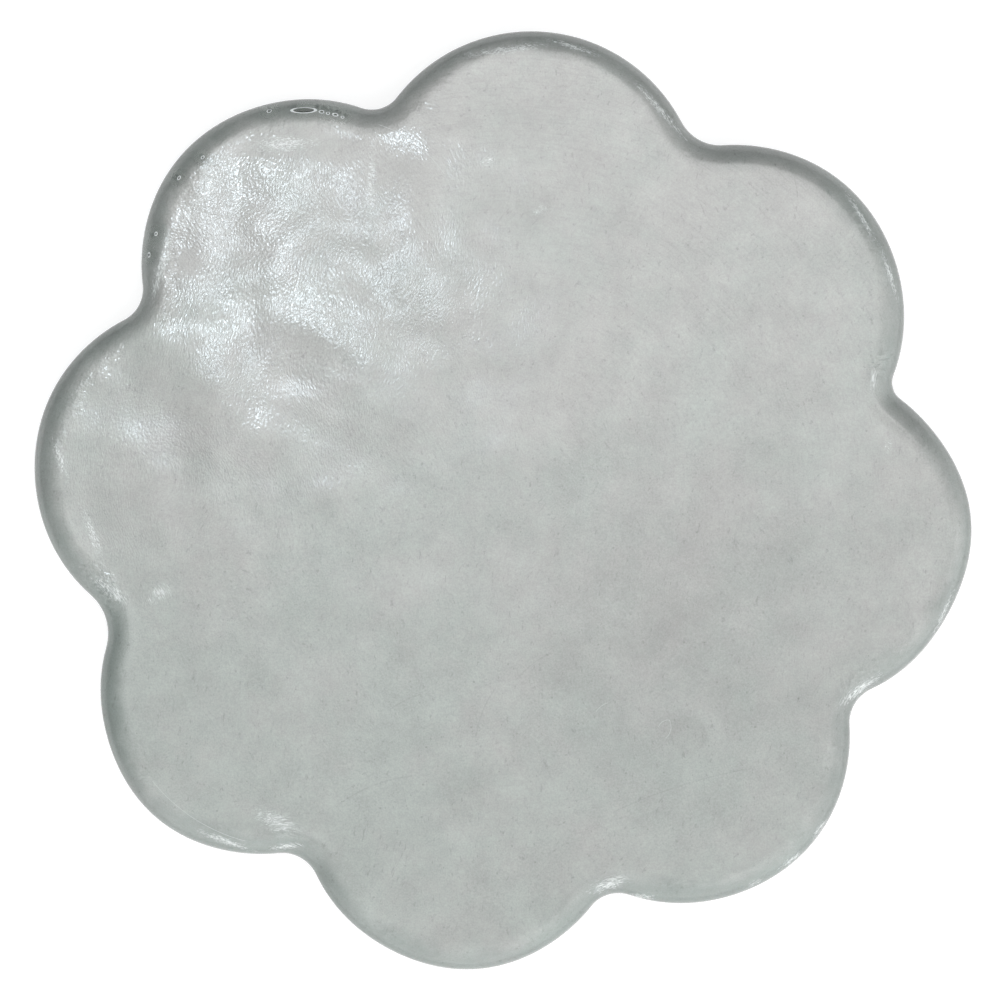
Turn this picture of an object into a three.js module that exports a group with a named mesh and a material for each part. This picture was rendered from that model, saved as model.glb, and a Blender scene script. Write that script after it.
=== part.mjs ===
// Scalloped glass serving board: one thick cast slab with petals all round, standing on clear bumper feet.
// Millimetres, +Z up. The origin is on the table, under the middle of the board, and one petal points along +X.
import * as THREE from "three";

// Driving dimensions of the slab
const PETAL_COUNT = 8;
const PETAL_REACH = 165; // middle of the board to the tip of a petal
const PETAL_RADIUS = 59; // round of one petal, seen from above
const NOTCH_RADIUS = 12; // hollow round that joins two petals
const SLAB_THICKNESS = 12.5;
const BELLY_HEIGHT = 4.5; // underside to the widest line of the edge
const TOP_SHOULDER = 11; // how far the edge's soft upper round runs in over the serving face
const BOTTOM_SHOULDER = 4.5; // the same for the tighter round below the belly

// Driving dimensions of a bumper foot
const FOOT_DIAMETER = 12.7;
const FOOT_HEIGHT = 3.5;
const FOOT_FLANGE = 0.8; // straight side wall just under the glass
const FOOT_PAD_DIAMETER = 7; // flat that meets the table

// Facets
const PETAL_STEPS = 20;
const NOTCH_STEPS = 8;
const TOP_STEPS = 8;
const BOTTOM_STEPS = 4;
const FOOT_SIDES = 32;
const FOOT_DOME_STEPS = 6;

// Places worked out from the driving dimensions
const petalAngle = (2 * Math.PI) / PETAL_COUNT;
const petalCentre = PETAL_REACH - PETAL_RADIUS; // middle of the board to the middle of a petal's round
const slabUnderside = FOOT_HEIGHT;

const glass = new THREE.MeshStandardMaterial({
  name: "cast_glass",
  color: 0xbcc3c1,
  roughness: 0.18,
  metalness: 0,
  transparent: true,
  opacity: 0.75,
});
const clearRubber = new THREE.MeshStandardMaterial({
  name: "clear_rubber",
  color: 0xdde3e1,
  roughness: 0.4,
  metalness: 0,
  transparent: true,
  opacity: 0.6,
});

// How the arcs of the outline meet. A notch's round lies on the line between two petals and touches both of them,
// so its middle is one petal radius and one notch radius away from each petal's middle.
function notchLayout() {
  const halfAngle = petalAngle / 2;
  const across = petalCentre * Math.sin(halfAngle);
  const along = petalCentre * Math.cos(halfAngle);
  const reach = Math.sqrt((PETAL_RADIUS + NOTCH_RADIUS) ** 2 - across ** 2);
  const centre = along + reach;
  const notchX = centre * Math.cos(halfAngle);
  const notchY = centre * Math.sin(halfAngle);
  return { centre, touch: Math.atan2(notchY, notchX - petalCentre) };
}

// The outline drawn in by some distance. Every arc keeps its middle, so petals get smaller, notches get wider
// and the arcs still meet smoothly.
function scallopOutline(inset) {
  const notch = notchLayout();
  const outline = new THREE.Path();
  for (let petal = 0; petal < PETAL_COUNT; petal += 1) {
    const axis = petal * petalAngle;
    const notchAxis = axis + petalAngle / 2;
    outline.absarc(
      petalCentre * Math.cos(axis),
      petalCentre * Math.sin(axis),
      PETAL_RADIUS - inset,
      axis - notch.touch,
      axis + notch.touch,
      false,
    );
    outline.absarc(
      notch.centre * Math.cos(notchAxis),
      notch.centre * Math.sin(notchAxis),
      NOTCH_RADIUS + inset,
      axis + notch.touch + Math.PI,
      axis + petalAngle - notch.touch + Math.PI,
      true,
    );
  }
  return outline;
}

// One ring of points round the slab. Each arc leaves its last point to the arc that follows it.
function outlineRing(inset, height) {
  const arcs = scallopOutline(inset).curves.filter((curve) => curve.isEllipseCurve);
  return arcs.flatMap((arc, index) => {
    const steps = index % 2 === 0 ? PETAL_STEPS : NOTCH_STEPS;
    return Array.from({ length: steps }, (_, step) => {
      const point = arc.getPoint(step / steps);
      return new THREE.Vector3(point.x, point.y, height);
    });
  });
}

// The edge from the underside up to the serving face, as pairs of inset and height: a tight quarter ellipse below
// the belly line and a wide soft one above it.
function edgeProfile() {
  const belly = slabUnderside + BELLY_HEIGHT;
  const lower = new THREE.EllipseCurve(
    BOTTOM_SHOULDER,
    belly,
    BOTTOM_SHOULDER,
    BELLY_HEIGHT,
    -Math.PI / 2,
    -Math.PI,
    true,
  );
  const upper = new THREE.EllipseCurve(
    TOP_SHOULDER,
    belly,
    TOP_SHOULDER,
    SLAB_THICKNESS - BELLY_HEIGHT,
    Math.PI,
    Math.PI / 2,
    true,
  );
  return [...lower.getPoints(BOTTOM_STEPS), ...upper.getPoints(TOP_STEPS).slice(1)];
}

// A closed solid through rings of equally many points, from the lowest ring to the highest, with flat ends.
function loftSolid(rings) {
  const count = rings[0].length;
  const bottom = rings[0];
  const top = rings[rings.length - 1];
  const corners = [];
  const face = (a, b, c) => corners.push(a, b, c);
  rings.slice(1).forEach((upper, level) => {
    const lower = rings[level];
    for (let i = 0; i < count; i += 1) {
      const next = (i + 1) % count;
      face(lower[i], lower[next], upper[next]);
      face(lower[i], upper[next], upper[i]);
    }
  });
  const bottomMiddle = new THREE.Vector3(0, 0, bottom[0].z);
  const topMiddle = new THREE.Vector3(0, 0, top[0].z);
  for (let i = 0; i < count; i += 1) {
    const next = (i + 1) % count;
    face(bottomMiddle, bottom[next], bottom[i]);
    face(topMiddle, top[i], top[next]);
  }
  const geometry = new THREE.BufferGeometry().setFromPoints(corners);
  geometry.computeVertexNormals();
  return geometry;
}

function makeSlab() {
  const rings = edgeProfile().map((point) => outlineRing(point.x, point.y));
  const slab = new THREE.Mesh(loftSolid(rings), glass);
  slab.name = "glass_slab";
  return slab;
}

// A bumper foot, turned: a flat pad on the table, a rounded flank and a short straight flange stuck to the glass.
function footGeometry() {
  const footRadius = FOOT_DIAMETER / 2;
  const padRadius = FOOT_PAD_DIAMETER / 2;
  const flank = new THREE.EllipseCurve(
    padRadius,
    FOOT_HEIGHT - FOOT_FLANGE,
    footRadius - padRadius,
    FOOT_HEIGHT - FOOT_FLANGE,
    -Math.PI / 2,
    0,
    false,
  );
  const profile = [
    new THREE.Vector2(0, 0),
    ...flank.getPoints(FOOT_DOME_STEPS),
    new THREE.Vector2(footRadius, FOOT_HEIGHT),
    new THREE.Vector2(0, FOOT_HEIGHT),
  ];
  return new THREE.LatheGeometry(profile, FOOT_SIDES).rotateX(Math.PI / 2);
}

// One foot under the middle of each petal's round, so that a load on any petal is carried.
function makeFeet() {
  const feet = new THREE.Group();
  for (let petal = 0; petal < PETAL_COUNT; petal += 1) {
    const axis = petal * petalAngle;
    const foot = new THREE.Mesh(footGeometry(), clearRubber);
    foot.name = `bumper_foot_${petal + 1}`;
    foot.position.set(petalCentre * Math.cos(axis), petalCentre * Math.sin(axis), 0);
    feet.add(foot);
  }
  return feet;
}

const board = new THREE.Group();
board.name = "glass_serving_board";
board.add(makeSlab(), makeFeet());

export default board;
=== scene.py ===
"""A scalloped serving board of cast glass on clear bumper feet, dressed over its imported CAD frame."""

import cmath
import math

import bmesh
import bpy
import numpy as np
from mathutils import Matrix, Vector, noise


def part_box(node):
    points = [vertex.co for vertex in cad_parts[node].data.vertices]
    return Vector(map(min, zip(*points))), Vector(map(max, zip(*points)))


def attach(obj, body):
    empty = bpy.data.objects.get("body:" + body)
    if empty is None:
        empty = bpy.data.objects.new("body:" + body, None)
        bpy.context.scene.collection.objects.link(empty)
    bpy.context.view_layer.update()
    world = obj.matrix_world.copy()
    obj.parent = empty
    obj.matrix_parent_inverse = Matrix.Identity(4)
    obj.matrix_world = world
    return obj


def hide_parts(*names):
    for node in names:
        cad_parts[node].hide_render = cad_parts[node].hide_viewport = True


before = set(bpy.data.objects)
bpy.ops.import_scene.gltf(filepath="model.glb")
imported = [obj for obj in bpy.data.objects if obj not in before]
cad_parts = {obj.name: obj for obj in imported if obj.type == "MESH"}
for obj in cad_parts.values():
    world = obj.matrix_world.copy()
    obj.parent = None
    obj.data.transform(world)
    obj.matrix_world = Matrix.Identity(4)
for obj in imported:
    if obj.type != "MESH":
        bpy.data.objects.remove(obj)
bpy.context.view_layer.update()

bl_info = {
    "name": "Scalloped Glass Serving Board",
    "version": (1, 0, 0),
    "blender": (4, 5, 0),
    "location": "View3D > Sidebar > Board",
    "description": "Builds a flower-shaped cast glass board, its clear feet and a plain studio",
    "category": "Add Mesh",
}

MM = 0.001
SLAB_LOW, SLAB_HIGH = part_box("glass_slab")
FOOT_LOW, FOOT_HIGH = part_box("bumper_foot_1")
FOOT_NODES = sorted(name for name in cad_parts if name.startswith("bumper_foot"))
PETALS = len(FOOT_NODES)
# How far the picture's axes are turned from the board's
PHOTO_TURN = math.radians(6.37)


def linear(code):
    """An sRGB hex colour as linear red, green and blue."""
    values = [int(code[i : i + 2], 16) / 255 for i in (1, 3, 5)]
    return [v / 12.92 if v <= 0.04045 else ((v + 0.055) / 1.055) ** 2.4 for v in values]


def ramp(value, low, high):
    """Nought up to the low value, one from the high value on, and even between them."""
    return min(1, max(0, (value - low) / (high - low)))


def add_node(tree, kind, inputs=None, **settings):
    """Adds a node with its settings. An input takes a value, a socket to link, or a node, which is linked by
    the first output that it has in use."""
    made = tree.nodes.new(kind)
    for name, value in settings.items():
        setattr(made, name, value)
    for name, value in (inputs or {}).items():
        if isinstance(value, bpy.types.Node):
            value = next(socket for socket in value.outputs if socket.enabled)
        if isinstance(value, bpy.types.NodeSocket):
            tree.links.new(value, made.inputs[name])
        else:
            made.inputs[name].default_value = value
    return made


def new_material(name):
    """A material and its node tree, still empty."""
    material = bpy.data.materials.new(name)
    material.use_nodes = True
    material.node_tree.nodes.clear()
    return material, material.node_tree


class SlabSettings(bpy.types.PropertyGroup):
    reach: bpy.props.FloatProperty(
        name="Reach", description="Middle of the board to the tip of a petal", subtype="DISTANCE",
        unit="LENGTH", default=SLAB_HIGH.x, precision=4)
    petal_radius: bpy.props.FloatProperty(
        name="Petal radius", description="Round of one petal, seen from above", subtype="DISTANCE",
        unit="LENGTH", default=59 * MM, precision=4)
    notch_radius: bpy.props.FloatProperty(
        name="Notch radius", description="Hollow round that joins two petals", subtype="DISTANCE",
        unit="LENGTH", default=12 * MM, precision=4)
    underside: bpy.props.FloatProperty(
        name="Underside", description="Height of the underside over the table", subtype="DISTANCE",
        unit="LENGTH", default=SLAB_LOW.z, precision=4)
    top: bpy.props.FloatProperty(
        name="Top", description="Height of the serving face over the table", subtype="DISTANCE",
        unit="LENGTH", default=SLAB_HIGH.z, precision=4)
    belly: bpy.props.FloatProperty(
        name="Belly", description="Underside to the widest line of the edge", subtype="DISTANCE",
        unit="LENGTH", default=4.5 * MM, precision=4)
    top_shoulder: bpy.props.FloatProperty(
        name="Top shoulder", description="How far the soft upper round runs in", subtype="DISTANCE",
        unit="LENGTH", default=11 * MM, precision=4)
    bottom_shoulder: bpy.props.FloatProperty(
        name="Bottom shoulder", description="How far the lower round runs in", subtype="DISTANCE",
        unit="LENGTH", default=4.5 * MM, precision=4)


class FootSettings(bpy.types.PropertyGroup):
    diameter: bpy.props.FloatProperty(
        name="Diameter", description="Width of a bumper foot", subtype="DISTANCE", unit="LENGTH",
        default=FOOT_HIGH.x - FOOT_LOW.x, precision=4)
    height: bpy.props.FloatProperty(
        name="Height", description="Table to the glass", subtype="DISTANCE", unit="LENGTH",
        default=FOOT_HIGH.z - FOOT_LOW.z, precision=4)
    flange: bpy.props.FloatProperty(
        name="Flange", description="Straight side wall under the glass", subtype="DISTANCE",
        unit="LENGTH", default=0.8 * MM, precision=4)
    pad_diameter: bpy.props.FloatProperty(
        name="Pad diameter", description="Flat that meets the table", subtype="DISTANCE",
        unit="LENGTH", default=7 * MM, precision=4)


class FinishSettings(bpy.types.PropertyGroup):
    cool_glass: bpy.props.FloatVectorProperty(
        name="Cool glass", description="Greener share of the cast glass", subtype="COLOR", size=3,
        min=0, max=1, default=linear("#ced3cf"))
    warm_glass: bpy.props.FloatVectorProperty(
        name="Warm glass", description="Greyer share of the cast glass", subtype="COLOR", size=3,
        min=0, max=1, default=linear("#d4d3d1"))
    deep_glass: bpy.props.FloatVectorProperty(
        name="Deep glass", description="Colour that light takes on inside the glass", subtype="COLOR",
        size=3, min=0, max=1, default=linear("#c3d0cb"))
    # Painted shade: a darker colour multiplied into the glass along the edge, for the dark band that the
    # thick round edge shows
    edge_shade: bpy.props.FloatVectorProperty(
        name="Edge glass", description="Share of light that the clearer, thicker edge leaves",
        subtype="COLOR", size=3, min=0, max=1, default=linear("#cfd4d3"))
    # Painted highlight: this white stands for glints along the edge and round bubbles, and for white
    # scratches
    glint_white: bpy.props.FloatVectorProperty(
        name="Crushed glass", description="White of scratches, scuffs and the skin of bubbles",
        subtype="COLOR", size=3, min=0, max=1, default=linear("#f4f8f8"))
    clear_rubber: bpy.props.FloatVectorProperty(
        name="Clear rubber", description="Polyurethane of the feet", subtype="COLOR", size=3,
        min=0, max=1, default=linear("#f8fbf9"))
    cloudy_rubber: bpy.props.FloatVectorProperty(
        name="Cloudy rubber", description="Clouds in the polyurethane", subtype="COLOR", size=3,
        min=0, max=1, default=linear("#eff4f1"))
    floor: bpy.props.FloatVectorProperty(
        name="Floor", description="Paper under the board", subtype="COLOR", size=3,
        min=0, max=1, default=linear("#a6a6a6"))


class BoardSettings(bpy.types.PropertyGroup):
    slab: bpy.props.PointerProperty(
        name="Slab", description="Sizes of the glass slab", type=SlabSettings)
    foot: bpy.props.PointerProperty(
        name="Foot", description="Sizes of a bumper foot", type=FootSettings)
    finish: bpy.props.PointerProperty(
        name="Finish", description="Colours of glass, feet and floor", type=FinishSettings)


# Points round the outline of one petal and of one notch, and rings of points over the slab
PETAL_STEPS = 44
NOTCH_STEPS = 16
FACE_RINGS = 84
SHOULDER_RINGS = 26
LOWER_RINGS = 14
UNDER_RINGS = 44

# A hand-cast board is uneven. Petal by petal from +X: its turn off the even eighth, what it adds to the reach
# and to the petal radius, what the notch after it adds to the notch radius, and how far its tip bulges
PETAL_TURN_DEG = (-0.3, -0.3, 0.4, 0.7, 0.4, 0.3, -0.4, -0.9)
PETAL_REACH_MM = (0.8, -0.1, 0.4, 0.4, -0.6, -0.3, 0.4, -1.2)
PETAL_ROUND_MM = (0.6, 0.9, 0.8, -0.7, 0.3, -2.1, -1.7, 0)
NOTCH_ROUND_MM = (-5, 3, -1, 0, 6, 1, 0, 1)
PETAL_BULGE_MM = (0.9, 0.3, 0, 0.3, -0.2, 0.6, 0.5, 0.3)
# A bulge swings out on one side of the tip and in on the other, as a sine over the petal's width
BULGE_TURN = 4.5
BULGE_SHIFT = 0.1


def scallop_layout(slab):
    """Middles and radii of the petals' rounds and of the hollow rounds that join them, as complex numbers."""
    turn = np.arange(PETALS) * 2 * math.pi / PETALS + np.radians(PETAL_TURN_DEG)
    petal_radius = slab.petal_radius + np.array(PETAL_ROUND_MM) * MM
    notch_radius = slab.notch_radius + np.array(NOTCH_ROUND_MM) * MM
    petal = (slab.reach + np.array(PETAL_REACH_MM) * MM - petal_radius) * np.exp(1j * turn)
    step = np.roll(petal, -1) - petal
    near = petal_radius + notch_radius
    far = np.roll(petal_radius, -1) + notch_radius
    along = (near**2 - far**2 + np.abs(step) ** 2) / (2 * np.abs(step))
    notch = petal + step / np.abs(step) * (along - 1j * np.sqrt(near**2 - along**2))
    return petal, petal_radius, notch, notch_radius


def arc(middle, radius, start, stop, steps):
    """Points round a middle from the side of one point to the side of another, without the last."""
    first = np.angle(start - middle)
    turn = np.angle((stop - middle) / (start - middle))
    return middle + radius * np.exp(1j * (first + np.linspace(0, turn, steps, endpoint=False)))


def petal_place(points):
    """The petal that each point belongs to, and where it lies there from -1 at one notch to 1 at the next."""
    half = math.pi / PETALS
    petal = np.round(np.angle(points) / (2 * half)).astype(int)
    return petal % PETALS, np.angle(points) / half - 2 * petal


def scallop_ring(slab, inset):
    """The outline drawn in by some distance, petal by petal."""
    petal, petal_radius, notch, notch_radius = scallop_layout(slab)
    arcs = []
    for i in range(PETALS):
        after = (i + 1) % PETALS
        arcs.append(arc(petal[i], petal_radius[i] - inset, notch[i - 1], notch[i], PETAL_STEPS))
        arcs.append(arc(notch[i], notch_radius[i] + inset, petal[i], petal[after], NOTCH_STEPS))
    ring = np.concatenate(arcs)
    owner, across = petal_place(ring)
    swing = (1 - across**2) * np.sin(BULGE_TURN * (across + BULGE_SHIFT))
    bulge = np.array(PETAL_BULGE_MM)[owner] * MM * swing
    return ring * (1 + bulge / slab.reach)


def quarter(inset, height, steps):
    """A quarter of an ellipse as insets and heights, from the flat to the belly."""
    turn = np.linspace(0, math.pi / 2, steps)
    return inset * (1 - np.sin(turn)), height * np.cos(turn)


def slab_rings(slab):
    """Rings of points from the middle of the serving face over the edge to the middle of the underside,
    each as (points, height, distance in from the edge)."""
    rings = []
    belly = slab.underside + slab.belly
    inner = scallop_ring(slab, slab.top_shoulder)
    for share in np.linspace(0, 1, FACE_RINGS + 1)[1:-1]:
        rings.append((inner * share, slab.top, slab.top_shoulder + (1 - share) * abs(inner[0])))
    for inset, height in zip(*quarter(slab.top_shoulder, slab.top - belly, SHOULDER_RINGS)):
        rings.append((scallop_ring(slab, inset), belly + height, inset))
    # The lower round runs on from the belly, whose ring the upper round has made
    lower = list(zip(*quarter(slab.bottom_shoulder, slab.belly, LOWER_RINGS)))
    for inset, height in lower[-2::-1]:
        rings.append((scallop_ring(slab, inset), belly - height, inset))
    inner = scallop_ring(slab, slab.bottom_shoulder)
    for share in np.linspace(1, 0, UNDER_RINGS + 1)[1:-1]:
        rings.append((inner * share, slab.underside, slab.bottom_shoulder + (1 - share) * abs(inner[0])))
    return rings


# Length and height of the waves that the melt set with. They are highest round the spot where the melt was
# poured and lowest at the edge, and the underside, which lay on the mould, has little of them
WAVES_MM = ((60, 0.5), (30, 1.2), (12, 0.4))
POUR_SPOT = (-0.095, 0.078, 0.016)
POUR_FADE = (0.05, 0.12)
CALM_WAVES = 0.35
MOULD_WAVES = 0.12
EDGE_WAVES = 0.2
EDGE_FADE = 14 * MM
# Bead that rolled up along the edge, in patches
BEAD_INSET = 7.5 * MM
BEAD_WIDTH = 2.6 * MM
BEAD_HEIGHT = 0.5 * MM
BEAD_PATCH_MM = 24
BEAD_LEVEL = 0.5
BEAD_SWING = 1.4
# Band along the edge where the mould chilled the skin, in patches. It lies further in near the pour, and is
# stronger at the notches, which begin at some share of a petal's half width
CHILL_INSET = 7 * MM
CHILL_SHIFT = 3 * MM
CHILL_WIDTH = 4 * MM
CHILL_PATCH_MM = 14
CHILL_LEVEL = 0.3
CHILL_SWING = 1.5
CHILL_ALONG = 0.55
CHILL_MORE = 0.6
CHILL_NOTCH = (0.6, 0.85)
# Slices of the noise that the waves, those of the underside, the bead and the chill are cut from
WAVE_SLICE = 3.1
UNDER_SLICE = 7.3
BEAD_SLICE = 11.7
CHILL_SLICE = 4.2
# Air bubbles caught in the edge: place, depth under the serving face, length and thickness
BUBBLES_MM = (
    (-83.2, 127.6, 4.4, 8.4, 2.0),
    (-76.9, 127.7, 4.2, 1.6, 1.0),
    (-74.6, 127.4, 4.4, 1.1, 0.9),
    (-72.0, 127.2, 4.3, 1.8, 1.0),
    (-69.4, 126.6, 4.2, 1.0, 0.8),
    (-95.2, 126.1, 5.5, 1.5, 1.1),
    (-116.1, 107.1, 4.8, 1.2, 0.9),
    (-123.7, 99.2, 4.9, 1.4, 0.9),
    (-129.6, 79.0, 5.0, 1.2, 0.9),
    (-131.4, 71.5, 5.0, 1.5, 0.9),
)
# Share of light that the ground skin scatters. It falls to nought over a bubble, where the skin is clear
SKIN_HAZE = 0.55
BUBBLE_WINDOW = 5 * MM
# Distance from the edge over which the painted shade of the edge fades into the body's tint
RIM_FADE = (3.5 * MM, 11 * MM)
# Spots of painted glints in the picture's own axes: place, length, width and heading in degrees
GLINT_SPOTS_MM = (
    (-153, 14, 16, 3.5, -73),
    (-142, -12, 21, 3.2, -69),
    (-135, -32, 16, 5, -40),
    (-119, -33, 11, 5.5, 29),
    (-78, -112, 17, 7, -24),
    (-96, -119, 20, 2.4, -21),
    (-75, -121, 12, 2.4, 10),
    (38, -134, 14, 5, 20),
    (50, -139, 9, 3, 0),
    (89, -134, 5, 2, 30),
    (102, -126, 10, 2.6, 36),
    (112, -115, 9, 2.2, 55),
    (126, -66, 18, 4, 35),
    (155, -40, 18, 2, 66),
    (135, 19, 7, 2.2, 85),
    (130, 42, 11, 2.4, 85),
    (136, 79, 19, 2.2, -71),
    (126, 99, 20, 2.2, -59),
    (56, 136, 27, 2.4, -48),
    (26, 158, 18, 2, -18),
    (2, 157, 28, 3, 7),
    (-45, 111, 26, 3, 88),
    (-75, 124, 24, 6, 3),
    (-103, 107, 22, 7, 58),
    (-118, 81, 26, 4, 74),
    (14, 101, 6, 2.5, 30),
    (-4, 118, 5, 4, 0),
)
# What each point of the slab tells the finish; the last is where painted glints show
SKIN_LAYERS = ("edge_inset", "haze", "chill", "glint_spot")


def patch_noise(x, y, cell_mm, slice_height):
    """Smooth noise from -1 to 1 in cells of some millimetres."""
    return noise.noise(Vector((x / (cell_mm * MM), y / (cell_mm * MM), slice_height)))


def lively(x, y, calm):
    """One round the spot where the melt was poured, falling to a calm level far from it."""
    return 1 + (calm - 1) * ramp(math.dist((x, y), POUR_SPOT[:2]), *POUR_FADE)


def ripple(x, y, inset, under):
    """Height of the waves and of the bead rolled up along the edge, in metres."""
    waves = sum(
        height * MM * patch_noise(x, y, length, WAVE_SLICE * count + UNDER_SLICE * under)
        for count, (length, height) in enumerate(WAVES_MM))
    settled = min(1, max(EDGE_WAVES, inset / EDGE_FADE))
    if under:
        return waves * (settled * MOULD_WAVES)
    patchy = max(0, BEAD_LEVEL + BEAD_SWING * patch_noise(x, y, BEAD_PATCH_MM, BEAD_SLICE))
    bead = BEAD_HEIGHT * patchy * math.exp(-(((inset - BEAD_INSET) / BEAD_WIDTH) ** 2))
    return waves * (settled * lively(x, y, CALM_WAVES)) + bead


def chill_marks(x, y, inset, across):
    """How strongly the mould chilled the skin into ripples: in a band along the edge, most at the notches."""
    middle = CHILL_INSET + CHILL_SHIFT * lively(x, y, 0)
    band = math.exp(-(((inset - middle) / CHILL_WIDTH) ** 2))
    patchy = CHILL_LEVEL + CHILL_SWING * patch_noise(x, y, CHILL_PATCH_MM, CHILL_SLICE)
    strength = CHILL_ALONG + CHILL_MORE * ramp(abs(across), *CHILL_NOTCH)
    return band * min(1, max(0, patchy)) * strength


def skin_haze(point):
    """Share of light that the skin scatters at a point."""
    away = min(abs(complex(x, y) * MM - point) for x, y, *_ in BUBBLES_MM)
    return SKIN_HAZE * min(1, away / BUBBLE_WINDOW)


def glint_spot_level(point):
    """How strongly painted glints show at a point: one in the middle of a listed glint spot, fading out round
    it.
    """
    seen = point * cmath.rect(1, -PHOTO_TURN)
    worst = 0.0
    for x, y, long, wide, heading in GLINT_SPOTS_MM:
        off = (seen - complex(x, y) * MM) * cmath.rect(1, -math.radians(heading))
        along = off.real / (long / 2 * MM)
        beside = off.imag / (wide / 2 * MM)
        worst = max(worst, math.exp(-(along**2) - beside**2))
    return worst


def edge_run(slab):
    """A place for each point of a ring on a circle as long as the edge, so that a pattern can follow the edge
    and close on itself."""
    ring = scallop_ring(slab, 0)
    step = np.abs(np.roll(ring, -1) - ring)
    share = (np.cumsum(step) - step) / step.sum()
    return step.sum() / math.tau * np.exp(1j * math.tau * share)


def bubble_turn(slab, x, y):
    """Angle at which a bubble's length lies along the edge of its petal."""
    spoke = complex(x, y) - scallop_layout(slab)[0]
    return float(np.angle(spoke[np.argmin(np.abs(spoke))])) + math.pi / 2


def add_bubble(shape, layers, slab, bubble):
    """A closed cavity along the edge, tinted like the body. Its faces look into the air inside it."""
    x, y, depth, long, thick = (value * MM for value in bubble)
    made = bmesh.ops.create_icosphere(shape, subdivisions=3, radius=0.5)["verts"]
    for vert in made:
        vert[layers["edge_inset"]] = RIM_FADE[1]
    along = Matrix.Rotation(bubble_turn(slab, x, y), 4, "Z")
    turn = Matrix.Translation((x, y, slab.top - depth)) @ along
    bmesh.ops.transform(shape, matrix=turn @ Matrix.Diagonal((long, thick, thick, 1)), verts=made)
    bmesh.ops.reverse_faces(shape, faces=list({face for vert in made for face in vert.link_faces}))


def slab_mesh(slab):
    """The slab as one closed skin with its bubbles. Its points carry what the finish needs to know."""
    shape = bmesh.new()
    layers = {name: shape.verts.layers.float.new(name) for name in SKIN_LAYERS}
    run_layer = shape.verts.layers.float_vector.new("edge_run")
    runs = edge_run(slab)

    def add(point, z, inset, run):
        x, y = point.real, point.imag
        below = z < slab.underside + slab.belly
        vert = shape.verts.new((x, y, z + ripple(x, y, inset, below)))
        across = float(petal_place(np.array([point]))[1][0])
        vert[layers["edge_inset"]] = inset
        vert[layers["haze"]] = skin_haze(point)
        vert[layers["chill"]] = 0.0 if below else chill_marks(x, y, inset, across)
        # Where painted glints show
        vert[layers["glint_spot"]] = 0.0 if below else glint_spot_level(point)
        vert[run_layer] = (run.real, run.imag, inset)
        return vert

    top = add(0j, slab.top, slab.reach, 0j)
    loops = [
        [add(point, height, inset, run) for point, run in zip(ring, runs)]
        for ring, height, inset in slab_rings(slab)]
    bottom = add(0j, slab.underside, slab.reach, 0j)
    count = len(runs)
    for i in range(count):
        after = (i + 1) % count
        shape.faces.new((top, loops[0][i], loops[0][after]))
        shape.faces.new((bottom, loops[-1][after], loops[-1][i]))
    for upper, lower in zip(loops, loops[1:]):
        for i in range(count):
            after = (i + 1) % count
            shape.faces.new((upper[i], lower[i], lower[after], upper[after]))
    for bubble in BUBBLES_MM:
        add_bubble(shape, layers, slab, bubble)
    for face in shape.faces:
        face.smooth = True
    mesh = bpy.data.meshes.new("cast_slab")
    shape.to_mesh(mesh)
    shape.free()
    return mesh


# Flow of the melt: width of its swirls, how far they draw the skin about, the heading of the streaks in
# radians, and how fine these are along it as a share of across it
FLOW_SIZE = 50 * MM
FLOW_REACH = 15 * MM
FLOW_HEADING = 0.6
FLOW_SHARE = 0.5
# Clouds of greener and greyer melt, greyer to the north
CLOUD_SIZE = 45 * MM
CLOUD_RANGE = (0.35, 0.65)
TINT_DRIFT = 0.9
# Each mark below has the share by which it darkens or lightens the glass, and most have the range of their
# pattern that shows. Grime ground into the haze lies in spots from 18 mm down to half a millimetre
MOTTLE_SIZE = 18 * MM
MOTTLE = 0.27
# Grain of the ground skin, drawn coarser than real so that it shows
GRAIN_SIZE = 0.6 * MM
GRAIN_RANGE = (0.2, 0.8)
GRAIN = 0.098
# Wiping marks: width of a lane, lengths of it to a radian, and how much commoner they are to the north
LANE_WIDTH = 0.8 * MM
LANE_LENGTHS = 14
SWEEP_DRIFT = 0.5
SWEEP_RANGE = (0.28, 0.42)
SWEEP = 0.055
# Grime in short strokes along the flow
STROKE_SIZE = 1.6 * MM
STROKE_RANGE = (0.3, 0.4)
STROKES = 0.18
# Painted shade: a greyer side of the board, darker round one spot
SHADE_SPOT = (0.066, -0.031)
SHADE_REACH = 85 * MM
SIDE_SHADE = 0.09
# Seeds, specks of grit in the melt: one in each spacing, fading out over a range given in spacings for a
# seed of full size
SEED_SPACING = 14 * MM
SEED_RANGE = (0.015, 0.04)
SEEDS = 0.2
# The band of painted shade along the edge is wider in one place and narrower in the next
WANDER_SIZE = 18 * MM
RIM_WANDER = 8 * MM
# Wrinkled skin: deepest round the spot where the melt was poured, calm far from it
WRINKLE_SIZE = 0.65 * MM
WRINKLE_DEPTH = 0.1 * MM
CALM_WRINKLE = 0.4
# Ripples where the mould chilled the skin
CHILL_SIZE = 3 * MM
CHILL_DEPTH = 1.2 * MM
# Painted glints in short strokes along the edge: their length, how many times their width that is, how much a
# glint spot brings them out, the range that turns white, and the range over which a spot fades in
GLINT_LENGTH = 1.4 * MM
GLINT_NARROW = 3.5
GLINT_LIFT = 0.28
GLINT_RANGE = (0.61, 0.81)
GLINT_SPOT_RANGE = (0.03, 0.35)
PAINTED_GLINT = 0.75
# Roughness of the fire polish near the edge, and of the face ground by use further in
POLISHED = 0.14
GROUND = 0.17
POLISH_FADE = (14 * MM, 45 * MM)
# How strongly the body takes up light, per metre
GLASS_DENSITY = 55.0
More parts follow.
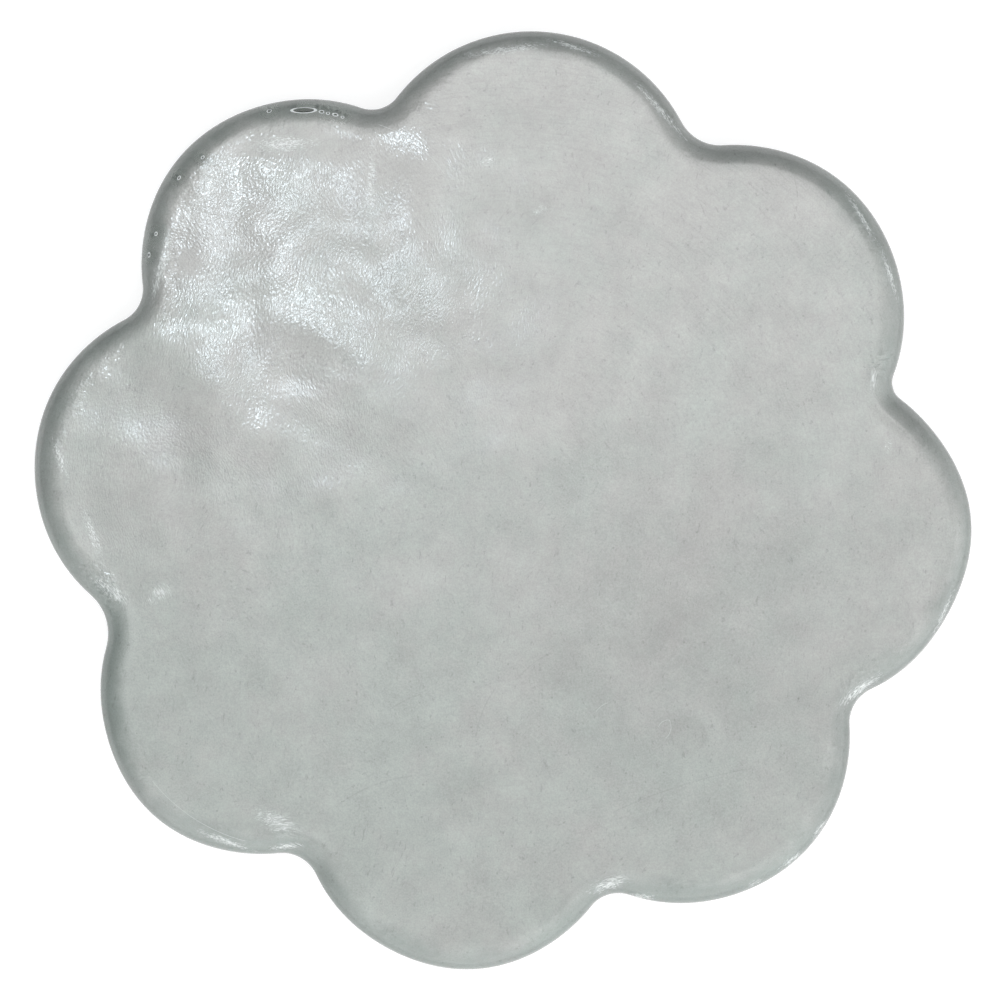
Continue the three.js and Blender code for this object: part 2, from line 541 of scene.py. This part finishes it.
# White lines on the board, partly scratches and partly painted glints: start, end and how far the line bows
# to its left
SCRATCH_AND_GLINT_LINES_MM = (
    ((-56.6, 125.4), (-31.9, 110.8), 2.3),
    ((63.6, -72.5), (67.1, -69.6), 0.8),
    ((67.1, -69.6), (66.5, -76.1), 1.2),
    ((41.4, -69.6), (45.2, -66.0), 0.4),
    ((-75.2, -128.1), (-109.4, -110.8), 3.0),
)
WHITE_LINE_WIDTH = 0.2 * MM
SCRATCH_AND_GLINT = 0.5
# Older scratches, filled with grime
DARK_SCRATCHES_MM = (
    ((51.2, -103.7), (96.0, -83.5), 1.5),
    ((-43.9, -111.5), (-18.1, -98.6), 2.0),
    ((0.8, -83.4), (5.8, -65.2), 1.2),
    ((12.5, -61.6), (23.7, -50.8), 0.8),
    ((-30.1, -76.9), (-20.2, -70.5), 0.5),
)
DARK_WIDTH = 0.45 * MM
DARK = 0.07
# Painted highlight: white line round a bubble
GLINT_RING_WIDTH_MM = 0.25


def flow_warp(tree, place):
    """Coordinates drawn about by the flow of the melt."""
    warp = add_node(tree, "ShaderNodeTexNoise", {"Vector": place, "Scale": 1 / FLOW_SIZE, "Detail": 1.0})
    middle = add_node(
        tree, "ShaderNodeVectorMath", {0: warp.outputs["Color"], 1: (0.5, 0.5, 0.5)}, operation="SUBTRACT")
    return add_node(
        tree, "ShaderNodeVectorMath", {0: middle, 1: (2 * FLOW_REACH, 2 * FLOW_REACH, 0), 2: place},
        operation="MULTIPLY_ADD")


def wiping_arcs(tree, place, north):
    """Lanes that run round the board in short lengths, as from years of wiping. The low values, which darken
    the glass, are commoner to the north."""
    flat = add_node(tree, "ShaderNodeVectorMath", {0: place, 1: (1, 1, 0)}, operation="MULTIPLY")
    around = add_node(tree, "ShaderNodeVectorMath", {0: flat}, operation="NORMALIZE")
    reach = add_node(tree, "ShaderNodeVectorMath", {0: flat}, operation="LENGTH")
    count = add_node(tree, "ShaderNodeMath", {0: reach, 1: LANE_WIDTH}, operation="DIVIDE")
    lane = add_node(tree, "ShaderNodeCombineXYZ", {"Z": count})
    track = add_node(
        tree, "ShaderNodeVectorMath", {0: around, 1: (LANE_LENGTHS, LANE_LENGTHS, LANE_LENGTHS), 2: lane},
        operation="MULTIPLY_ADD")
    wiped = add_node(tree, "ShaderNodeTexNoise", {"Vector": track, "Scale": 1.0, "Detail": 2.0})
    return add_node(tree, "ShaderNodeMath", {0: north, 1: -SWEEP_DRIFT, 2: wiped}, operation="MULTIPLY_ADD")


def seeds(tree, place):
    """Distance from the nearest seed, over a size of its own."""
    speck = add_node(
        tree, "ShaderNodeTexVoronoi", {"Vector": place, "Scale": 1 / SEED_SPACING}, voronoi_dimensions="2D")
    size = add_node(tree, "ShaderNodeSeparateColor", {"Color": speck.outputs["Color"]}).outputs["Red"]
    return add_node(tree, "ShaderNodeMath", {0: speck.outputs["Distance"], 1: size}, operation="DIVIDE")


def scratches(tree, place, top, rows, width):
    """Bowed scratches in the serving face: one over each line, nought beside it."""
    total = 0.0
    for start, end, bow_mm in rows:
        first = complex(*start) * MM
        last = complex(*end) * MM
        bow = bow_mm * MM
        half = abs(last - first) / 2
        radius = (half**2 + bow**2) / (2 * bow)
        left = 1j * (last - first) / abs(last - first)
        middle = (first + last) / 2
        centre = middle - left * (radius - bow)
        from_centre, from_middle = (
            add_node(
                tree, "ShaderNodeVectorMath", {0: place, 1: (spot.real, spot.imag, top)},
                operation="DISTANCE")
            for spot in (centre, middle))
        line = add_node(
            tree, "ShaderNodeMath", {0: from_centre, 1: radius, 2: width / 2}, operation="COMPARE")
        ends = add_node(tree, "ShaderNodeMath", {0: from_middle, 1: half}, operation="LESS_THAN")
        total = add_node(tree, "ShaderNodeMath", {0: line, 1: ends, 2: total}, operation="MULTIPLY_ADD")
    return total


def bubble_glint_rings(tree, place, slab):
    """Painted highlight: the white line that the skin shows round each bubble under it, and that each bubble
    has round it.
    """
    total = 0.0
    for x, y, _, long, thick in BUBBLES_MM:
        own = add_node(
            tree, "ShaderNodeMapping",
            {"Vector": place, "Location": (x * MM, y * MM, 0),
             "Rotation": (0, 0, bubble_turn(slab, x * MM, y * MM)),
             "Scale": (long / 2 * MM, thick / 2 * MM, 1)}, vector_type="TEXTURE")
        reach = add_node(tree, "ShaderNodeVectorMath", {0: own}, operation="LENGTH")
        line = add_node(
            tree, "ShaderNodeMath", {0: reach, 1: 1.0, 2: GLINT_RING_WIDTH_MM / thick}, operation="COMPARE")
        total = add_node(tree, "ShaderNodeMath", {0: line, 1: total}, operation="MAXIMUM")
    return total


def body_tint(tree, place, flow, finish, slab):
    """Colour of the cloudy body with its grime and marks of use, and painted shade towards one side."""
    cloud = add_node(
        tree, "ShaderNodeTexNoise",
        {"Vector": place, "Scale": 1 / CLOUD_SIZE, "Detail": 5.0, "Roughness": 0.75})
    north = add_node(tree, "ShaderNodeSeparateXYZ", {0: place}).outputs["Y"]
    drift = add_node(tree, "ShaderNodeMath", {0: north, 1: TINT_DRIFT, 2: cloud}, operation="MULTIPLY_ADD")
    greyer = add_node(
        tree, "ShaderNodeMapRange", {"Value": drift, "From Min": CLOUD_RANGE[0], "From Max": CLOUD_RANGE[1]})
    tint = add_node(
        tree, "ShaderNodeMix",
        {"Factor": greyer, "A": (*finish.cool_glass, 1), "B": (*finish.warm_glass, 1)}, data_type="RGBA")
    mottle = add_node(
        tree, "ShaderNodeTexNoise",
        {"Vector": place, "Scale": 1 / MOTTLE_SIZE, "Detail": 5.0, "Roughness": 0.78})
    grain = add_node(
        tree, "ShaderNodeTexNoise",
        {"Vector": place, "Scale": 1 / GRAIN_SIZE, "Detail": 1.0, "Roughness": 0.7})
    strokes = add_node(
        tree, "ShaderNodeTexNoise",
        {"Vector": flow, "Scale": 1 / STROKE_SIZE, "Detail": 3.0, "Roughness": 0.7})
    # Painted shade, darkest round one spot
    shaded_side = add_node(tree, "ShaderNodeVectorMath", {0: place, 1: (*SHADE_SPOT, slab.top)}, operation="DISTANCE")
    wiped = wiping_arcs(tree, place, north)
    grimy = scratches(tree, place, slab.top, DARK_SCRATCHES_MM, DARK_WIDTH)
    # Each mark, the range it is read over, the share of light that it leaves at either end, and its course
    shades = (
        (mottle, (0.0, 1.0), (1 - MOTTLE, 1 + MOTTLE), "LINEAR"),
        (grain, GRAIN_RANGE, (1 - GRAIN, 1 + GRAIN), "LINEAR"),
        (wiped, SWEEP_RANGE, (1 - SWEEP, 1.0), "LINEAR"),
        (grimy, (0.0, 1.0), (1.0, 1 - DARK), "LINEAR"),
        (strokes, STROKE_RANGE, (1 - STROKES, 1.0), "LINEAR"),
        (shaded_side, (0.0, SHADE_REACH), (1 - SIDE_SHADE, 1.0), "SMOOTHSTEP"),
        (seeds(tree, place), SEED_RANGE, (1 - SEEDS, 1.0), "LINEAR"),
    )
    for mark, (low, high), (at_low, at_high), course in shades:
        share = add_node(
            tree, "ShaderNodeMapRange",
            {"Value": mark, "From Min": low, "From Max": high, "To Min": at_low, "To Max": at_high},
            interpolation_type=course)
        tint = add_node(tree, "ShaderNodeVectorMath", {0: tint, "Scale": share}, operation="SCALE")
    return tint


def shaded_edge_tint(tree, tint, run, inset, finish):
    """The tint with painted shade that darkens the glass along the edge."""
    wander = add_node(tree, "ShaderNodeTexNoise", {"Vector": run, "Scale": 1 / WANDER_SIZE, "Detail": 2.0})
    shifted = add_node(
        tree, "ShaderNodeMath", {0: wander, 1: RIM_WANDER, 2: inset}, operation="MULTIPLY_ADD")
    inside = add_node(tree, "ShaderNodeMath", {0: shifted, 1: RIM_WANDER / 2}, operation="SUBTRACT")
    body = add_node(
        tree, "ShaderNodeMapRange", {"Value": inside, "From Min": RIM_FADE[0], "From Max": RIM_FADE[1]},
        interpolation_type="SMOOTHSTEP")
    left = add_node(
        tree, "ShaderNodeMix", {"Factor": body, "A": (*finish.edge_shade, 1), "B": (1, 1, 1, 1)},
        data_type="RGBA")
    return add_node(tree, "ShaderNodeVectorMath", {0: tint, 1: left}, operation="MULTIPLY")


def skin_normal(tree, place, warped, flow, chill):
    """Relief of the skin: wrinkles drawn out one way by the flow, and chill ripples along the edge."""
    skin = add_node(tree, "ShaderNodeTexNoise", {"Vector": flow, "Scale": 1 / WRINKLE_SIZE, "Detail": 1.0})
    away = add_node(tree, "ShaderNodeVectorMath", {0: place, 1: POUR_SPOT}, operation="DISTANCE")
    calm = add_node(
        tree, "ShaderNodeMapRange",
        {"Value": away, "From Min": POUR_FADE[0], "From Max": POUR_FADE[1], "To Min": 1.0,
         "To Max": CALM_WRINKLE})
    wrinkled = add_node(
        tree, "ShaderNodeBump", {"Height": skin, "Distance": WRINKLE_DEPTH, "Strength": calm})
    crease = add_node(
        tree, "ShaderNodeTexNoise",
        {"Vector": warped, "Scale": 1 / CHILL_SIZE, "Detail": 2.0, "Roughness": 0.6})
    return add_node(
        tree, "ShaderNodeBump",
        {"Height": crease, "Distance": CHILL_DEPTH, "Strength": chill, "Normal": wrinkled})


def painted_glints_and_scratches(tree, place, run, glint_spots, slab):
    """Share of white: painted glints that fill their spots, white lines that are partly scratches and partly
    painted glints, and the painted highlights round bubbles.
    """
    lanes = add_node(tree, "ShaderNodeVectorMath", {0: run, 1: (1, 1, GLINT_NARROW)}, operation="MULTIPLY")
    strokes = add_node(
        tree, "ShaderNodeTexNoise",
        {"Vector": lanes, "Scale": 1 / GLINT_LENGTH, "Detail": 3.0, "Roughness": 0.65, "Distortion": 0.8})
    glint_level = add_node(
        tree, "ShaderNodeMath", {0: glint_spots, 1: GLINT_LIFT, 2: strokes}, operation="MULTIPLY_ADD")
    glint_strokes = add_node(
        tree, "ShaderNodeMapRange",
        {"Value": glint_level, "From Min": GLINT_RANGE[0], "From Max": GLINT_RANGE[1], "To Max": PAINTED_GLINT})
    spot = add_node(
        tree, "ShaderNodeMapRange", {"Value": glint_spots, "From Min": GLINT_SPOT_RANGE[0], "From Max": GLINT_SPOT_RANGE[1]})
    white = add_node(tree, "ShaderNodeMath", {0: glint_strokes, 1: spot}, operation="MULTIPLY")
    lines = scratches(tree, place, slab.top, SCRATCH_AND_GLINT_LINES_MM, WHITE_LINE_WIDTH)
    faint = add_node(tree, "ShaderNodeMath", {0: lines, 1: SCRATCH_AND_GLINT}, operation="MULTIPLY")
    for other in (bubble_glint_rings(tree, place, slab), faint):
        white = add_node(tree, "ShaderNodeMath", {0: white, 1: other}, operation="MAXIMUM")
    return white


def cast_glass(finish, slab):
    """Cast soda-lime glass, pressed by hand and ground hazy by years of wiping. The eye gets a cloudy pale
    green-grey body, a wrinkled skin that breaks a reflection into sparkles, and painted shade along the edge."""
    material, tree = new_material("cast_soda_lime_glass")
    place = add_node(tree, "ShaderNodeTexCoord").outputs["Object"]
    # The last layer says where painted glints show
    inset, haze, chill, glint_spots = (
        add_node(tree, "ShaderNodeAttribute", attribute_name=name).outputs["Fac"] for name in SKIN_LAYERS)
    run = add_node(tree, "ShaderNodeAttribute", attribute_name="edge_run").outputs["Vector"]
    warped = flow_warp(tree, place)
    flow = add_node(
        tree, "ShaderNodeMapping",
        {"Vector": warped, "Rotation": (0, 0, FLOW_HEADING), "Scale": (1, FLOW_SHARE, 1)})
    # Painted shade along the edge
    tint = shaded_edge_tint(tree, body_tint(tree, place, flow, finish, slab), run, inset, finish)
    # Painted glints, painted rings round bubbles, and white lines that are partly scratches and partly
    # painted glints
    white = painted_glints_and_scratches(tree, place, run, glint_spots, slab)
    tint_and_glints = add_node(
        tree, "ShaderNodeMix", {"Factor": white, "A": tint, "B": (*finish.glint_white, 1)},
        data_type="RGBA")
    hazy = add_node(tree, "ShaderNodeMath", {0: haze, 1: white}, operation="MAXIMUM")
    clear = add_node(tree, "ShaderNodeMath", {0: 1.0, 1: hazy}, operation="SUBTRACT")
    polish = add_node(
        tree, "ShaderNodeMapRange",
        {"Value": inset, "From Min": POLISH_FADE[0], "From Max": POLISH_FADE[1], "To Min": POLISHED,
         "To Max": GROUND})
    shader = add_node(
        tree, "ShaderNodeBsdfPrincipled",
        {"Base Color": tint_and_glints, "Roughness": polish, "IOR": 1.52, "Transmission Weight": clear,
         "Normal": skin_normal(tree, place, warped, flow, chill)})
    depth = add_node(
        tree, "ShaderNodeVolumeAbsorption", {"Color": (*finish.deep_glass, 1), "Density": GLASS_DENSITY})
    add_node(tree, "ShaderNodeOutputMaterial", {"Surface": shader, "Volume": depth})
    return material


class BOARD_OT_glass_slab(bpy.types.Operator):
    """Make the scalloped slab of cast glass"""

    bl_idname = "board.glass_slab"
    bl_label = "Glass Slab"

    def execute(self, context):
        board = context.scene.serving_board
        slab = bpy.data.objects.new("cast_slab", slab_mesh(board.slab))
        context.scene.collection.objects.link(slab)
        slab.data.materials.append(cast_glass(board.finish, board.slab))
        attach(slab, "root")
        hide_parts("glass_slab")
        return {"FINISHED"}


FOOT_SIDES = 48
FLANK_STEPS = 12
# Points of the turned profile that fall together on its axis are closer than this
WELD = 0.001 * MM
# Clouds in the rubber, dust on it, and the grain of its skin
RUBBER_CLOUD = 3 * MM
RUBBER_DUST = 0.6 * MM
RUBBER_GRAIN = 0.25 * MM
RUBBER_GRAIN_DEPTH = 0.02 * MM


def foot_mesh(foot):
    """A turned bumper: flat pad, rounded flank and a short straight flange."""
    pad = foot.pad_diameter / 2
    bulge = foot.diameter / 2 - pad
    rise = foot.height - foot.flange
    shape = bmesh.new()
    profile = [(0.0, 0.0)]
    for turn in np.linspace(0, math.pi / 2, FLANK_STEPS):
        profile.append((pad + bulge * math.sin(turn), rise * (1 - math.cos(turn))))
    profile += [(foot.diameter / 2, foot.height), (0.0, foot.height)]
    verts = [shape.verts.new((x, 0, z)) for x, z in profile]
    edges = [shape.edges.new(pair) for pair in zip(verts, verts[1:])]
    bmesh.ops.spin(
        shape, geom=verts + edges, axis=(0, 0, 1), cent=(0, 0, 0), angle=2 * math.pi,
        steps=FOOT_SIDES, use_merge=True)
    bmesh.ops.remove_doubles(shape, verts=shape.verts, dist=WELD)
    bmesh.ops.recalc_face_normals(shape, faces=shape.faces)
    for face in shape.faces:
        face.smooth = True
    mesh = bpy.data.meshes.new("clear_foot")
    shape.to_mesh(mesh)
    shape.free()
    return mesh


def clear_polyurethane(finish):
    """Clear polyurethane, cast into drops. The eye gets a soft, slightly cloudy jelly with a dull, dusty
    skin."""
    material, tree = new_material("clear_cast_polyurethane")
    place = add_node(tree, "ShaderNodeTexCoord").outputs["Object"]
    cloud = add_node(tree, "ShaderNodeTexNoise", {"Vector": place, "Scale": 1 / RUBBER_CLOUD, "Detail": 2.0})
    dust = add_node(tree, "ShaderNodeTexNoise", {"Vector": place, "Scale": 1 / RUBBER_DUST, "Detail": 2.0})
    grain = add_node(tree, "ShaderNodeTexNoise", {"Vector": place, "Scale": 1 / RUBBER_GRAIN})
    tint = add_node(
        tree, "ShaderNodeMix",
        {"Factor": cloud, "A": (*finish.clear_rubber, 1), "B": (*finish.cloudy_rubber, 1)},
        data_type="RGBA")
    dull = add_node(tree, "ShaderNodeMapRange", {"Value": dust, "To Min": 0.12, "To Max": 0.4})
    bump = add_node(tree, "ShaderNodeBump", {"Height": grain, "Distance": RUBBER_GRAIN_DEPTH})
    shader = add_node(
        tree, "ShaderNodeBsdfPrincipled",
        {"Base Color": tint, "Roughness": dull, "IOR": 1.5, "Transmission Weight": 0.97, "Normal": bump})
    add_node(tree, "ShaderNodeOutputMaterial", {"Surface": shader})
    return material


class BOARD_OT_bumper_feet(bpy.types.Operator):
    """Make the clear bumper foot under each petal"""

    bl_idname = "board.bumper_feet"
    bl_label = "Bumper Feet"

    def execute(self, context):
        board = context.scene.serving_board
        material = clear_polyurethane(board.finish)
        for number, node in enumerate(FOOT_NODES, 1):
            low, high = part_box(node)
            foot = bpy.data.objects.new(f"clear_foot_{number}", foot_mesh(board.foot))
            context.scene.collection.objects.link(foot)
            foot.location = ((low.x + high.x) / 2, (low.y + high.y) / 2, low.z)
            foot.data.materials.append(material)
            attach(foot, "root")
            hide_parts(node)
        return {"FINISHED"}


# Width of the picture at the height of the edge's widest line
FRAME_WIDTH = 351.8 * MM
LENS_MM = 85
SENSOR_MM = 36
# The floor lies just under the feet, so that its face and their pads stay apart, and glows where it is seen
FLOOR_HALF = 9.0
FLOOR_DROP = 0.05 * MM
FLOOR_GLOW = 0.76
# Sky: its strength overhead and at the horizon, what the bright side adds and the dark side takes away there,
# between which cosines of the way round it turns from one to the other, and the way to the bright side
SKY_ZENITH = 0.20
SKY_HORIZON = 0.16
LEAN_BRIGHT = 2.05
LEAN_DARK = -0.6
LEAN_TURN = (-0.35, 0.45)
SKY_SIDE = PHOTO_TURN - math.radians(62)
# A glow near the zenith, even in its core, on the side that the picture has above
SKY_GLOW = 2.55
GLOW_SIDE = (0.02, 0.30, 0.95)
GLOW_REACH = math.radians(25)
GLOW_CORE = math.radians(10)
# A small cool window that the serving face mirrors beside one petal. Its place, like the glow's side, is
# given in the picture's axes
WINDOW_SIZE = 0.03
WINDOW_POWER = 0.6
WINDOW_SPOT = (-0.154, 0.162, 0.84)
WINDOW_COLOUR = "#e4f4ff"


def from_picture(spot):
    """A place or a way in the picture's axes, turned into the board's."""
    return Matrix.Rotation(PHOTO_TURN, 3, "Z") @ Vector(spot)


def make_floor(context, finish):
    """A wide sheet of matt paper that looks white to the eye and through glass, and still takes the
    shadow."""
    mesh = bpy.data.meshes.new("paper_floor")
    corners = [(-1, -1), (1, -1), (1, 1), (-1, 1)]
    mesh.from_pydata([(x * FLOOR_HALF, y * FLOOR_HALF, -FLOOR_DROP) for x, y in corners], [], [(0, 1, 2, 3)])
    floor = bpy.data.objects.new("paper_floor", mesh)
    context.scene.collection.objects.link(floor)
    material, tree = new_material("matt_white_paper")
    path = add_node(tree, "ShaderNodeLightPath").outputs
    seen = path["Is Camera Ray"]
    for ray in ("Is Glossy Ray", "Is Transmission Ray"):
        seen = add_node(tree, "ShaderNodeMath", {0: seen, 1: path[ray]}, operation="MAXIMUM")
    glow = add_node(tree, "ShaderNodeMath", {0: seen, 1: FLOOR_GLOW}, operation="MULTIPLY")
    paper = add_node(tree, "ShaderNodeBsdfDiffuse", {"Color": (*finish.floor, 1)})
    white = add_node(tree, "ShaderNodeEmission", {"Strength": glow})
    both = add_node(tree, "ShaderNodeAddShader", {0: paper, 1: white})
    add_node(tree, "ShaderNodeOutputMaterial", {"Surface": both})
    floor.data.materials.append(material)


def make_sky(context):
    """Soft light from all round, bright on one side and dark on the other, with a glow near the zenith."""
    world = bpy.data.worlds.new("soft_studio")
    context.scene.world = world
    world.use_nodes = True
    tree = world.node_tree
    tree.nodes.clear()
    way = add_node(tree, "ShaderNodeTexCoord").outputs["Generated"]
    bright_side = Vector((math.cos(SKY_SIDE), math.sin(SKY_SIDE), 0))
    flat = add_node(tree, "ShaderNodeVectorMath", {0: way, 1: (1, 1, 0)}, operation="MULTIPLY")
    low = add_node(tree, "ShaderNodeVectorMath", {0: flat}, operation="LENGTH")
    around = add_node(tree, "ShaderNodeVectorMath", {0: flat}, operation="NORMALIZE")
    side = add_node(tree, "ShaderNodeVectorMath", {0: around, 1: bright_side}, operation="DOT_PRODUCT")
    lean = add_node(
        tree, "ShaderNodeMapRange",
        {"Value": side, "From Min": LEAN_TURN[0], "From Max": LEAN_TURN[1], "To Min": LEAN_DARK,
         "To Max": LEAN_BRIGHT}, interpolation_type="SMOOTHSTEP")
    up = add_node(tree, "ShaderNodeSeparateXYZ", {0: way}).outputs["Z"]
    rise = add_node(tree, "ShaderNodeMapRange", {"Value": up, "To Min": SKY_HORIZON, "To Max": SKY_ZENITH})
    leaning = add_node(tree, "ShaderNodeMath", {0: lean, 1: low, 2: rise}, operation="MULTIPLY_ADD")
    level = add_node(tree, "ShaderNodeMath", {0: leaning, 1: 0.0}, operation="MAXIMUM")
    glow_side = from_picture(GLOW_SIDE).normalized()
    near = add_node(tree, "ShaderNodeVectorMath", {0: way, 1: glow_side}, operation="DOT_PRODUCT")
    glow = add_node(
        tree, "ShaderNodeMapRange",
        {"Value": near, "From Min": math.cos(GLOW_REACH), "From Max": math.cos(GLOW_CORE),
         "To Max": SKY_GLOW}, interpolation_type="SMOOTHSTEP")
    strength = add_node(tree, "ShaderNodeMath", {0: level, 1: glow}, operation="ADD")
    sky = add_node(tree, "ShaderNodeBackground", {"Color": (1, 1, 1, 1), "Strength": strength})
    add_node(tree, "ShaderNodeOutputWorld", {"Surface": sky})


def make_window(context):
    """A square of cool daylight, aimed at the board and hidden from the camera."""
    light = bpy.data.lights.new("window", "AREA")
    light.size = WINDOW_SIZE
    light.energy = WINDOW_POWER
    light.color = linear(WINDOW_COLOUR)
    window = bpy.data.objects.new("window", light)
    context.scene.collection.objects.link(window)
    window.visible_camera = False
    window.location = from_picture(WINDOW_SPOT)
    window.rotation_euler = (-window.location).to_track_quat("-Z", "Y").to_euler()


def make_camera(context, slab):
    """Looks straight down, and takes in the picture's width at the widest line of the edge."""
    lens = bpy.data.cameras.new("photo_camera")
    lens.lens = LENS_MM
    lens.sensor_width = SENSOR_MM
    camera = bpy.data.objects.new("photo_camera", lens)
    context.scene.collection.objects.link(camera)
    height = slab.underside + slab.belly + FRAME_WIDTH * LENS_MM / SENSOR_MM
    camera.location = (0, 0, height)
    camera.rotation_euler = (0, 0, PHOTO_TURN)
    context.scene.camera = camera


class BOARD_OT_studio(bpy.types.Operator):
    """Make the floor, lights, sky and camera"""

    bl_idname = "board.studio"
    bl_label = "Studio"

    def execute(self, context):
        board = context.scene.serving_board
        make_floor(context, board.finish)
        make_sky(context)
        make_window(context)
        make_camera(context, board.slab)
        context.scene.view_settings.view_transform = "Standard"
        return {"FINISHED"}


class BOARD_PT_panel(bpy.types.Panel):
    """Lists the board's sizes and colours, its pieces and the studio"""

    bl_idname = "BOARD_PT_panel"
    bl_label = "Glass Serving Board"
    bl_space_type = "VIEW_3D"
    bl_region_type = "UI"
    bl_category = "Board"

    def draw(self, context):
        board = context.scene.serving_board
        for group in (board.slab, board.foot, board.finish):
            box = self.layout.box()
            for name in group.__annotations__:
                box.prop(group, name)
        for operator in OPERATORS:
            self.layout.operator(operator.bl_idname)


OPERATORS = (BOARD_OT_glass_slab, BOARD_OT_bumper_feet, BOARD_OT_studio)
CLASSES = (SlabSettings, FootSettings, FinishSettings, BoardSettings, *OPERATORS, BOARD_PT_panel)


def register():
    for cls in CLASSES:
        bpy.utils.register_class(cls)
    bpy.types.Scene.serving_board = bpy.props.PointerProperty(type=BoardSettings)


def unregister():
    del bpy.types.Scene.serving_board
    for cls in reversed(CLASSES):
        bpy.utils.unregister_class(cls)


def main():
    register()
    bpy.ops.board.glass_slab()
    bpy.ops.board.bumper_feet()
    bpy.ops.board.studio()


if __name__ == "__main__":
    main()
